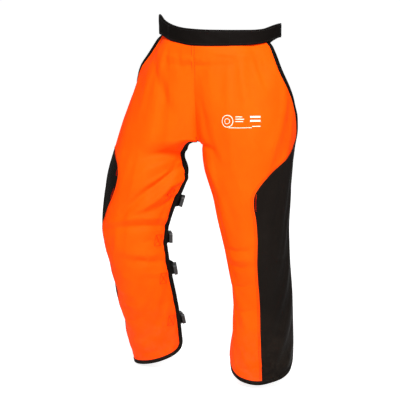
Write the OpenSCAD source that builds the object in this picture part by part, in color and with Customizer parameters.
// Protective leg chaps for chain saw work: front leg covers on a waistband,
// each leg closed at the back with four webbing straps and side release buckles.
// The wearer faces -Y and +Z is up. Origin: middle of the waist opening, half way up the band.

/* [Waistband] */
// Half width of the waist opening
waist_half_w = 171; // [160:1:180]
// Distance from the origin to the front of the band
waist_front = 149; // [140:1:156]
// Height of the waistband
band_h = 43; // [36:1:50]
// Thickness of the waistband
band_t = 4; // [3:0.5:5]
// Rise of the band towards the right hip
rise_right = 33; // [20:1:40]
// Rise of the band towards the left hip
rise_left = 13; // [5:1:20]
// Height of the rear belt webbing
belt_h = 38; // [30:1:40]
// How far the slack rear belt hangs down at the middle of the back
belt_droop = 66; // [50:1:80]

/* [Yoke] */
// Height of the crotch point below the origin
crotch_drop = 273; // [265:1:280]
// Half width across the hips at the crotch height
hip_half_w = 270; // [262:1:276]
// Half width just below the waistband
yoke_half_w = 176; // [173:1:182]
// Depth of the yoke in front of its middle, at the waistband
yoke_depth = 148; // [144:1:150]

/* [Legs] */
// Height of the hem below the origin
hem_drop = 939; // [925:1:950]
// Radius of the left leg at the crotch, over the thigh
thigh_r_left = 128; // [124:1:132]
// Radius of the right leg at the crotch, over the thigh
thigh_r_right = 106; // [103:1:109]
// Radius of both legs at the knee
knee_r = 88; // [84:1:92]
// Radius of both legs at the calf
calf_r = 81; // [78:1:85]
// Radius of the left leg at the hem
hem_r_left = 80; // [77:1:84]
// Radius of the right leg at the hem
hem_r_right = 78; // [75:1:81]
// How far the bent right knee stands in front of the middle
knee_forward = 86; // [76:1:96]

/* [Layers] */
// Thickness of the outer fabric
cloth_t = 1.6; // [1:0.2:2]
// Thickness of the cut protection pad
pad_t = 6; // [4:0.5:7]
// Thickness of the lining
lining_t = 1.2; // [0.8:0.2:1.6]
// Width of the edge binding
binding_w = 10; // [8:1:12]

/* [Straps] */
// Height of a leg strap
strap_h = 25; // [20:1:25]
// Thickness of the webbing
web_t = 1.6; // [1.2:0.2:2]
// Length of a leg buckle socket
socket_l = 30; // [28:1:32]
// Thickness of a leg buckle
buckle_t = 9; // [8:0.5:10]

/* [Hidden] */

zc = -crotch_drop;
zb = -band_h / 2;
zh = -hem_drop;
L = 1;
R = -1;
orange = "#ff6a14";
black = "#1c1a18";

function mix(a, b, t) = a + (b - a) * t;
function clamp(x, a = 0, b = 1) = min(b, max(a, x));
function step(a, b, x) = let (t = clamp((x - a) / (b - a))) t * t * (3 - 2 * t);

// Smooth curve through [drop, value] pairs, with the slope at each pair taken from its neighbours.
function slope(p, i) = i == 0 ? (p[1][1] - p[0][1]) / (p[1][0] - p[0][0])
    : i == len(p) - 1 ? (p[i][1] - p[i - 1][1]) / (p[i][0] - p[i - 1][0])
    : let (a = (p[i][1] - p[i - 1][1]) / (p[i][0] - p[i - 1][0]), b = (p[i + 1][1] - p[i][1]) / (p[i + 1][0] - p[i][0]),
           h = p[i][0] - p[i - 1][0], k = p[i + 1][0] - p[i][0]) (b * h + a * k) / (h + k);
function span(p, x, i = 0) = i >= len(p) - 2 || x < p[i + 1][0] ? i : span(p, x, i + 1);
function curve(p, x) = x <= p[0][0] ? p[0][1] + slope(p, 0) * (x - p[0][0])
    : let (i = span(p, x), h = p[i + 1][0] - p[i][0], t = (x - p[i][0]) / h, m = slope(p, i), n = slope(p, i + 1))
      (2 * t * t * t - 3 * t * t + 1) * p[i][1] + (t * t * t - 2 * t * t + t) * h * m
      + (3 * t * t - 2 * t * t * t) * p[i + 1][1] + (t * t * t - t * t) * h * n;

// Sections by height: [drop below the origin, value]. The two legs are not alike, because the right knee is bent.
yoke_w = [[21, yoke_half_w], [60, 203], [110, 231], [200, 257], [crotch_drop, hip_half_w]];
yoke_d = [[21, yoke_depth], [110, 136], [200, 128], [crotch_drop, 122]];
yoke_x = [[21, 0], [crotch_drop, -15]];
yoke_y = [[21, 0], [110, -17], [crotch_drop, -40]];
seam_y = [[21, -yoke_depth], [110, -134], [200, -116], [crotch_drop, -101]];
leg_x_l = [[21, 85], [crotch_drop, 101], [340, 97], [450, 112], [590, 132], [680, 136], [860, 130], [hem_drop, 130]];
leg_y_l = [[21, -10], [crotch_drop, -24], [590, -24], [760, 0], [hem_drop, 10]];
leg_rx_l = [[21, 112], [140, 126], [crotch_drop, thigh_r_left], [340, 120], [450, 101], [550, knee_r], [700, calf_r - 1], [860, calf_r + 2], [hem_drop, hem_r_left]];
leg_ry_l = [[21, 125], [crotch_drop, 122], [450, 100], [550, knee_r], [700, calf_r], [860, calf_r + 6], [hem_drop, hem_r_left + 1]];
leg_x_r = [[21, 112], [140, 152], [crotch_drop, 184], [390, 190], [480, 209], [540, 215], [640, 209], [800, 206], [hem_drop, 211]];
leg_y_r = [[21, -10], [140, -22], [crotch_drop, -38], [400, -62], [520, 1 - knee_forward], [560, -knee_forward], [640, 12 - knee_forward], [800, -20], [hem_drop, 26]];
leg_rx_r = [[21, 112], [crotch_drop, thigh_r_right], [390, 117], [480, 104], [580, knee_r + 5], [700, calf_r + 9], [800, calf_r + 5], [hem_drop, hem_r_right]];
leg_ry_r = [[21, 118], [crotch_drop, thigh_r_right - 3], [390, 114], [480, 104], [580, knee_r + 5], [700, calf_r + 10], [800, calf_r + 7], [hem_drop, hem_r_right + 1]];
// Angle from the front at which each half of the yoke ends, and the angles between which a leg cover wraps.
edge_l = [[21, 78], [110, 81], [170, 97], [crotch_drop, 116]];
edge_r = [[21, 66], [60, 70], [110, 84], [200, 108], [crotch_drop, 118]];
wrap_l = [[21, 84], [140, 98], [crotch_drop, 120], [hem_drop, 122]];
wrap_r = [[21, 68], [140, 90], [crotch_drop, 116], [400, 130], [560, 140], [hem_drop, 140]];

function leg_x(s, v) = s == L ? curve(leg_x_l, -v) : curve(leg_x_r, -v);
function leg_y(s, v) = s == L ? curve(leg_y_l, -v) : curve(leg_y_r, -v);
function leg_rx(s, v) = s == L ? curve(leg_rx_l, -v) : curve(leg_rx_r, -v);
function leg_ry(s, v) = s == L ? curve(leg_ry_l, -v) : curve(leg_ry_r, -v);
function first(s, v) = s == L ? 57 : 76;
function last(s, v) = s == L ? curve(wrap_l, -v) : curve(wrap_r, -v);

// Point of the leg's own round at angle f from the front, d inside the outer face.
function round_pt(s, f, v, d) = [s * (leg_x(s, v) + (leg_rx(s, v) - d) * sin(f)), leg_y(s, v) - (leg_ry(s, v) - d) * cos(f), v];

// Point of the garment: u is 0 at the centre line or inseam and 1 at the outer edge, v is the height, d is the depth inside the outer face.
function lift(s, u, v) = (s == L ? rise_left * step(0.64, 1.4, u) : rise_right * pow(max(u, 0), 1.2)) * (1 - step(21, 190, -v));
function surf(s, u, v, d) =
    let (q = min(-v, crotch_drop), w = step(21, crotch_drop + 20, -v),
         a = u * curve(s == L ? edge_l : edge_r, q),
         tx = curve(yoke_x, q), yd = curve(yoke_d, q) - d, yy = curve(yoke_y, q),
         t = [tx + s * (curve(yoke_w, q) - d) * sin(a), yy - yd * cos(a)],
         f = -first(s, v) + u * (first(s, v) + last(s, v)),
         g = round_pt(s, f, v, d), g0 = round_pt(s, -first(s, v), v, d),
         x0 = mix(tx, g0[0], w), y0 = mix(yy - yd, g0[1], w),
         k = (1 - step(0, 0.5, u)) * (1 - step(crotch_drop, crotch_drop + (s == L ? 75 : 45), -v)))
    [mix(t[0], g[0], w) + (tx - x0) * k, mix(t[1], g[1], w) + (curve(seam_y, q) + d - y0) * k, v + lift(s, u, v)];

// Inner edge of a leg cover, rounded under the crotch.
function inseam(s, v) = let (t = clamp((zc - v) / (s == L ? 70 : 100))) s == L ? -0.31 * sqrt(1 - (1 - t) * (1 - t)) : -0.075 * t * t * (3 - 2 * t);
// Seam between the front panel and the side panel, an S curve that drops from the outer edge.
seam_l = [[302, 95], [328, 83], [355, 64], [382, 48], [425, 33], [520, 31], [600, 26], [700, 23], [860, 27], [hem_drop, 28]];
seam_r = [[302, 90], [325, 55], [347, 33], [373, 25], [401, 22], [430, 25], [486, 40], [530, 55], [560, 60], [hem_drop, 60]];
function side_seam(s, v) = (curve(s == L ? seam_l : seam_r, -v) + first(s, v)) / (first(s, v) + last(s, v));
// The hip fold runs from the crotch up to the hips; the knee fold is level.
function hip_top(u) = zc + 105 * sin(90 * clamp(u));
function hip_end(u) = hip_top(u) - 132;
knee_top = [0, -490, -470];
knee_end = [0, -568, -548];
function kt(s) = s == L ? knee_top[1] : knee_top[2];
function ke(s) = s == L ? knee_end[1] : knee_end[2];
bu = binding_w / 330;
gap = 0.4;

// The hem is cut in a curve: how far it rises above its lowest point, by position round the leg.
hem_rise_l = [[-0.31, 66], [-0.1, 64], [0, 57], [0.083, 46], [0.135, 31], [0.231, 14], [0.323, 4], [0.427, 0], [0.48, 1.5], [0.6, 9], [0.717, 20], [0.829, 34], [0.945, 51], [1, 59]];
hem_rise_r = [[-0.075, 84], [0, 52], [0.046, 36], [0.139, 18], [0.236, 6], [0.322, 1], [0.42, 0], [1, 0]];
function hem(s, u) = zh + max(0, curve(s == L ? hem_rise_l : hem_rise_r, max(u, s == L ? -0.31 : -0.075)));

// A sheet over a grid of nu by nv cells between the edges U0 and U1 and the heights V0 and V1, from depth d0 to depth d1.
module sheet(s, U0, U1, V0, V1, d0, d1, nu, nv) {
    n = (nu + 1) * (nv + 1);
    // u and v depend on each other at the edges, so they are settled in a few rounds.
    function settle(a, b, u, k) = let (v = mix(V0(u), V1(u), b)) k == 0 ? [u, v] : settle(a, b, mix(U0(v), U1(v), a), k - 1);
    function at(i, j, d) = let (q = settle(i / nu, j / nv, i / nu, 7)) surf(s, mix(U0(q[1]), U1(q[1]), i / nu), q[1], d);
    pts = [for (d = [d0, d1]) for (j = [0:nv]) for (i = [0:nu]) at(i, j, d)];
    closed(pts, nu, nv, n, s == L);
}
// Closes two layers of grid points into one solid.
module closed(pts, nu, nv, n, turn) {
    function id(i, j, k) = k * n + j * (nu + 1) + i;
    faces = concat(
        [for (j = [0:nv - 1]) for (i = [0:nu - 1]) for (t = [[id(i, j, 0), id(i + 1, j, 0), id(i + 1, j + 1, 0)], [id(i, j, 0), id(i + 1, j + 1, 0), id(i, j + 1, 0)]]) t],
        [for (j = [0:nv - 1]) for (i = [0:nu - 1]) for (t = [[id(i, j, 1), id(i + 1, j + 1, 1), id(i + 1, j, 1)], [id(i, j, 1), id(i, j + 1, 1), id(i + 1, j + 1, 1)]]) t],
        [for (i = [0:nu - 1]) for (t = [[id(i, 0, 0), id(i + 1, 0, 1), id(i + 1, 0, 0)], [id(i, 0, 0), id(i, 0, 1), id(i + 1, 0, 1)]]) t],
        [for (i = [0:nu - 1]) for (t = [[id(i, nv, 0), id(i + 1, nv, 0), id(i + 1, nv, 1)], [id(i, nv, 0), id(i + 1, nv, 1), id(i, nv, 1)]]) t],
        [for (j = [0:nv - 1]) for (t = [[id(0, j, 0), id(0, j + 1, 0), id(0, j + 1, 1)], [id(0, j, 0), id(0, j + 1, 1), id(0, j, 1)]]) t],
        [for (j = [0:nv - 1]) for (t = [[id(nu, j, 0), id(nu, j + 1, 1), id(nu, j + 1, 0)], [id(nu, j, 0), id(nu, j, 1), id(nu, j + 1, 1)]]) t]);
    polyhedron(pts, turn ? faces : [for (f = faces) [f[2], f[1], f[0]]], convexity = 6);
}

// ---- Waist ----
// The band and the rear belt follow one loop: p is the angle from the front, positive to the wearer's left.
right_end = -82;
left_end = 112;
function loop_z(p) = p >= 0 ? rise_left * step(50, 110, p) : rise_right * pow(-p / 65, 1.2);
function loop_pt(p, d) = [(waist_half_w - d) * sin(p), -((cos(p) > 0 ? waist_front : waist_front - 24) - d) * cos(p)];
module loop(p0, p1, h, d0, d1, n, m, Z) {
    pts = [for (d = [d0, d1]) for (j = [0:m]) for (i = [0:n]) let (p = mix(p0, p1, i / n), q = loop_pt(p, d)) [q[0], q[1], Z(p) + h / 2 - h * j / m]];
    closed(pts, n, m, (n + 1) * (m + 1), true);
}
module waistband() {
    color(black) loop(right_end, left_end, band_h, 0, band_t, 36, 2, function(p) loop_z(p));
}
// Height of the slack belt behind: it leaves both band ends and hangs down at the back.
function belt_z(p) = let (t = (p - left_end) / (360 + right_end - left_end)) mix(loop_z(left_end), loop_z(right_end), t) - belt_droop * (1 - pow(abs(2 * t - 1), 2.6));
buckle_p = 180;
module belt_webbing_left() {
    color(black) loop(left_end + 0.6, buckle_p - 11, belt_h, 1.2, 1.2 + web_t, 12, 1, function(p) belt_z(p));
}
module belt_webbing_right() {
    color(black) loop(buckle_p + 9.6, 360 + right_end - 0.6, belt_h, 1.2, 1.2 + web_t, 16, 1, function(p) belt_z(p));
}
module round_box(l, t, h, r) {
    rotate([90, 0, 0]) linear_extrude(t, center = true) offset(r, $fn = 24) square([l - 2 * r, h - 2 * r], center = true);
}
// A side release buckle lies along +X with its outer face to +Y. The socket ends at x = 0, where the clip goes in.
module socket(l, t, h) {
    difference() {
        translate([-l / 2, 0, 0]) round_box(l, t, h, 4);
        // mouth for the prongs
        translate([-l * 0.42, 0, 0]) cube([l * 0.84 + 0.02, t - 3.6, h - 5], center = true);
        // side windows where the barbs are pressed
        for (m = [-1, 1]) translate([-l * 0.5, 0, m * h / 2]) cube([l * 0.36, t + 1, 7], center = true);
        // strap slot
        translate([-l + 3, 0, 0]) cube([2.4, t + 1, h - 8], center = true);
    }
}
module clip(l, t, h) {
    difference() {
        translate([l * 0.28 + 0.4, 0, 0]) round_box(l * 0.5, t - 1, h, 3);
        translate([l * 0.36, 0, 0]) cube([2.4, t + 1, h - 8], center = true);
    }
    for (m = [-1, 1]) {
        translate([-l * 0.2, 0, m * (h / 2 - 5.6)]) cube([l * 0.56, t - 5, 3], center = true);
        translate([-l * 0.4, 0, m * (h / 2 - 5)]) cube([l * 0.16, t - 5, 4.6], center = true);
    }
    translate([-l * 0.12, 0, 0]) cube([l * 0.36, t - 5.4, 3], center = true);
}
module at_belt() {
    q = loop_pt(buckle_p, 2);
    translate([q[0], q[1], belt_z(buckle_p)]) rotate([0, 0, 180]) mirror([0, 1, 0]) rotate([0, 0, 0]) children();
}
module belt_socket() color(black) at_belt() translate([6, 0, 0]) socket(38, 11, 46);
module belt_clip() color(black) at_belt() translate([6, 0, 0]) clip(38, 11, 46);
module belt_adjuster() {
    p = 160;
    q = loop_pt(p, 2);
    color(black) translate([q[0], q[1], belt_z(p)]) rotate([0, 0, 165]) rotate([0, 11.5, 0]) difference() {
        round_box(28, 7, belt_h + 10, 3);
        for (m = [-1, 1]) translate([m * 6.5, 0, 0]) cube([5, 9, belt_h + 3], center = true);
        cube([30, 4.2, belt_h + 4], center = true);
    }
}
// Loops that hold the free end of the belt: angle from the front, turn to follow the belt.
module belt_keeper_loops() {
    color(black) for (k = [[207, 20.4], [222, 33.4]]) {
        q = loop_pt(k[0], 2);
        translate([q[0], q[1], belt_z(k[0])]) rotate([0, 0, k[1]]) difference() {
            cube([12, 7.2, belt_h + 6.5], center = true);
            cube([13, 5, belt_h + 4], center = true);
        }
    }
}

// ---- Yoke, on the waistband ----
module yoke(s) color(orange)
    sheet(s, function(v) 0.012, function(v) 1 - bu - gap / 130, function(u) zb - gap, function(u) hip_top(u) + gap, 0, cloth_t, 14, 12);
module yoke_lining(s) color(black)
    sheet(s, function(v) 0.03, function(v) 0.94, function(u) zb - 6, function(u) hip_top(u) + 2, 10.5, 10.5 + lining_t, 12, 8);
module yoke_right() yoke(R);
module yoke_left() yoke(L);
module yoke_lining_right() yoke_lining(R);
module yoke_lining_left() yoke_lining(L);
module centre_seam_tape() {
    color(orange) sheet(L, function(v) -0.008, function(v) 0.008, function(u) zb - gap, function(u) zc + gap, 0, cloth_t, 2, 12);
}
module crotch_binding() {
    color(black) for (s = [L, R])
        sheet(s, function(v) inseam(s, v), function(v) inseam(s, v) + bu, function(u) zc - gap, function(u) zc - 24, -1.2, 2.8, 2, 8);
}
module yoke_bindings() {
    color(black) for (s = [L, R])
        sheet(s, function(v) 1 - bu, function(v) 1, function(u) zb - gap, function(u) hip_top(1) + gap, -1.2, 2.8, 2, 12);
}
// ---- Hip fold: the fabric that bends when the thigh lifts ----
module hip_fold(s) color(orange)
    sheet(s, function(v) inseam(s, min(v + 8, zc)) + bu + 0.02, function(v) 1 - bu - gap / 130, function(u) hip_top(u) - gap, function(u) hip_end(u) + gap, 0, cloth_t, 14, 14);
module hip_fold_right() hip_fold(R);
module hip_fold_left() hip_fold(L);

// ---- Leg covers ----
module thigh_panel(s) color(orange)
    sheet(s, function(v) inseam(s, v) + bu + gap / 130, function(v) side_seam(s, v) - gap / 200, function(u) hip_end(u) - gap, function(u) kt(s) + gap, 0, cloth_t, s == L ? 14 : 18, s == L ? 12 : 24);
module thigh_side_panel(s) color(black)
    sheet(s, function(v) side_seam(s, v) + gap / 200, function(v) 1 - bu - gap / 130, function(u) hip_end(u) - gap, function(u) kt(s) + gap, 0, cloth_t, s == L ? 6 : 8, s == L ? 12 : 24);
module thigh_pad(s) color("gold")
    sheet(s, function(v) inseam(s, v) + 0.05, function(v) 0.94, function(u) hip_end(u) - 3, function(u) kt(s) + 3, s == L ? 3.6 : 4.6, (s == L ? 3.6 : 4.6) + pad_t, 14, s == L ? 6 : 12);
module thigh_lining(s) color(black)
    sheet(s, function(v) inseam(s, v) + 0.05, function(v) 0.94, function(u) hip_end(u) - 3, function(u) kt(s) + 3, s == L ? 11.4 : 12.4, (s == L ? 11.4 : 12.4) + lining_t, 12, s == L ? 6 : 12);
module thigh_bindings(s) color(black) {
    sheet(s, function(v) inseam(s, v), function(v) inseam(s, v) + bu, function(u) zc - 33, function(u) kt(s) + gap, -1.2, 2.8, 2, 12);
    sheet(s, function(v) 1 - bu, function(v) 1, function(u) hip_top(1) - (s == L ? 5 : 13), function(u) kt(s) + gap, -1.2, 2.8, 2, 12);
}
module knee_fold(s) color(orange)
    sheet(s, function(v) inseam(s, v), function(v) side_seam(s, v) - gap / 200, function(u) kt(s) - gap, function(u) ke(s) + gap, 0, cloth_t, 14, 4);
module knee_side_fold(s) color(black)
    sheet(s, function(v) side_seam(s, v) + gap / 200, function(v) 1, function(u) kt(s) - gap, function(u) ke(s) + gap, 0, cloth_t, 4, 4);
module shin_panel(s) color(orange)
    sheet(s, function(v) inseam(s, v) + bu + gap / 130, function(v) side_seam(s, v) - gap / 200, function(u) ke(s) - gap, function(u) hem(s, u) + binding_w + 2.2, 0, cloth_t, 16, 14);
module shin_side_panel(s) color(black)
    sheet(s, function(v) side_seam(s, v) + gap / 200, function(v) 1 - bu - gap / 130, function(u) ke(s) - gap, function(u) hem(s, u) + binding_w + 2.2, 0, cloth_t, 6, 14);
module shin_pad(s) color("gold")
    sheet(s, function(v) inseam(s, v) + 0.05, function(v) 0.94, function(u) ke(s) - 3, function(u) hem(s, u) + 34, 3.6, 3.6 + pad_t, 12, 10);
module shin_lining(s) color(black)
    sheet(s, function(v) inseam(s, v) + 0.05, function(v) 0.94, function(u) ke(s) - 3, function(u) hem(s, u) + 14, 11.4, 11.4 + lining_t, 12, 10);
module shin_bindings(s) color(black) {
    sheet(s, function(v) inseam(s, v), function(v) inseam(s, v) + bu, function(u) ke(s) - gap, function(u) hem(s, u) + binding_w + 0.6, -1.2, 2.8, 2, 14);
    sheet(s, function(v) 1 - bu, function(v) 1, function(u) ke(s) - gap, function(u) hem(s, u) + binding_w + 0.6, -1.2, 2.8, 2, 14);
    sheet(s, function(v) inseam(s, v), function(v) 1, function(u) hem(s, u) + binding_w, function(u) hem(s, u), -1.2, 2.8, 26, 1);
}
module thigh_panel_left() thigh_panel(L);
module thigh_panel_right() thigh_panel(R);
module thigh_side_panel_left() thigh_side_panel(L);
module thigh_side_panel_right() thigh_side_panel(R);
module thigh_pad_left() thigh_pad(L);
module thigh_pad_right() thigh_pad(R);
module thigh_lining_left() thigh_lining(L);
module thigh_lining_right() thigh_lining(R);
module thigh_bindings_left() thigh_bindings(L);
module thigh_bindings_right() thigh_bindings(R);
module knee_fold_left() knee_fold(L);
module knee_fold_right() knee_fold(R);
module knee_side_fold_left() knee_side_fold(L);
module knee_side_fold_right() knee_side_fold(R);
module shin_panel_left() shin_panel(L);
module shin_panel_right() shin_panel(R);
module shin_side_panel_left() shin_side_panel(L);
module shin_side_panel_right() shin_side_panel(R);
module shin_pad_left() shin_pad(L);
module shin_pad_right() shin_pad(R);
module shin_lining_left() shin_lining(L);
module shin_lining_right() shin_lining(R);
module shin_bindings_left() shin_bindings(L);
module shin_bindings_right() shin_bindings(R);

// ---- Leg straps and buckles ----
// Heights of the four straps, and the angle of the buckle from the front on the inner side.
strap_z_l = [-440, -592, -700, -835];
strap_z_r = [-457, -561, -652, -812];
buckle_f_l = -133;
buckle_f_r = [-118, -127, -121, -134];
// Depth of each buckle from the cover's surface line, and how far it leans with the slant of the leg.
buckle_d_l = -6.5;
buckle_d_r = [-3, 4, -1, 6];
buckle_lean_r = [17, 0, -10, -12];
function strap_z(s, i) = s == L ? strap_z_l[i - 1] : strap_z_r[i - 1];
function buckle_f(s, i) = s == L ? buckle_f_l : buckle_f_r[i - 1];
function buckle_d(s, i) = s == L ? buckle_d_l : buckle_d_r[i - 1];
function buckle_lean(s, i) = s == L ? 0 : buckle_lean_r[i - 1];
module at_buckle(s, i) {
    q = round_pt(s, buckle_f(s, i), strap_z(s, i), buckle_d(s, i));
    translate(q) mirror([s == L ? 0 : 1, 0, 0]) rotate([0, 0, 180 + buckle_f(s, i)]) rotate([-buckle_lean(s, i), 0, 0]) children();
}
module leg_socket(s, i) color(black) at_buckle(s, i) socket(socket_l, buckle_t, strap_h + 3);
module leg_clip(s, i) color(black) at_buckle(s, i) clip(socket_l, buckle_t, strap_h + 3);
module leg_strap(s, i) color(black) {
    z = strap_z(s, i);
    p0 = last(s, z) - 12;
    reach = atan(16.5 / leg_rx(s, z));
    p1 = 360 + buckle_f(s, i) - reach - 1.6;
    n = 14;
    lean = buckle_lean(s, i);
    // The strap lies on the leg at the outer edge and turns to the lean and depth of its buckle.
    pts = [for (t = [0, web_t]) for (j = [0:1]) for (k = [0:n])
        let (p = mix(p0, p1, k / n), w = step(0, 1, k / n), d = mix(-5.6, buckle_d(s, i) + 1.5, w) + t, e = strap_h / 2 - strap_h * j,
            a = round_pt(s, p, z + e, d), b = round_pt(s, p, z, d) + e * [s * sin(lean) * sin(p), -sin(lean) * cos(p), cos(lean)])
        a + (b - a) * w];
    closed(pts, n, 1, (n + 1) * 2, s == L);
}
module thigh_sockets_left() leg_socket(L, 1);
module shin_sockets_left() for (i = [2:4]) leg_socket(L, i);
module thigh_sockets_right() leg_socket(R, 1);
module shin_sockets_right() for (i = [2:4]) leg_socket(R, i);
module leg_strap_left_1() leg_strap(L, 1);
module leg_strap_left_2() leg_strap(L, 2);
module leg_strap_left_3() leg_strap(L, 3);
module leg_strap_left_4() leg_strap(L, 4);
module leg_strap_right_1() leg_strap(R, 1);
module leg_strap_right_2() leg_strap(R, 2);
module leg_strap_right_3() leg_strap(R, 3);
module leg_strap_right_4() leg_strap(R, 4);
module leg_clip_left_1() leg_clip(L, 1);
module leg_clip_left_2() leg_clip(L, 2);
module leg_clip_left_3() leg_clip(L, 3);
module leg_clip_left_4() leg_clip(L, 4);
module leg_clip_right_1() leg_clip(R, 1);
module leg_clip_right_2() leg_clip(R, 2);
module leg_clip_right_3() leg_clip(R, 3);
module leg_clip_right_4() leg_clip(R, 4);

waistband();
belt_webbing_right();
belt_webbing_left();
belt_socket();
belt_clip();
belt_adjuster();
belt_keeper_loops();
yoke_right();
yoke_left();
yoke_lining_right();
yoke_lining_left();
centre_seam_tape();
crotch_binding();
yoke_bindings();
hip_fold_right();
hip_fold_left();
thigh_panel_left();
thigh_side_panel_left();
thigh_pad_left();
thigh_lining_left();
thigh_bindings_left();
knee_fold_left();
knee_side_fold_left();
shin_panel_left();
shin_side_panel_left();
shin_pad_left();
shin_lining_left();
shin_bindings_left();
thigh_sockets_left();
shin_sockets_left();
leg_strap_left_1();
leg_strap_left_2();
leg_strap_left_3();
leg_strap_left_4();
leg_clip_left_1();
leg_clip_left_2();
leg_clip_left_3();
leg_clip_left_4();
thigh_panel_right();
thigh_side_panel_right();
thigh_pad_right();
thigh_lining_right();
thigh_bindings_right();
knee_fold_right();
knee_side_fold_right();
shin_panel_right();
shin_side_panel_right();
shin_pad_right();
shin_lining_right();
shin_bindings_right();
thigh_sockets_right();
shin_sockets_right();
leg_strap_right_1();
leg_strap_right_2();
leg_strap_right_3();
leg_strap_right_4();
leg_clip_right_1();
leg_clip_right_2();
leg_clip_right_3();
leg_clip_right_4();
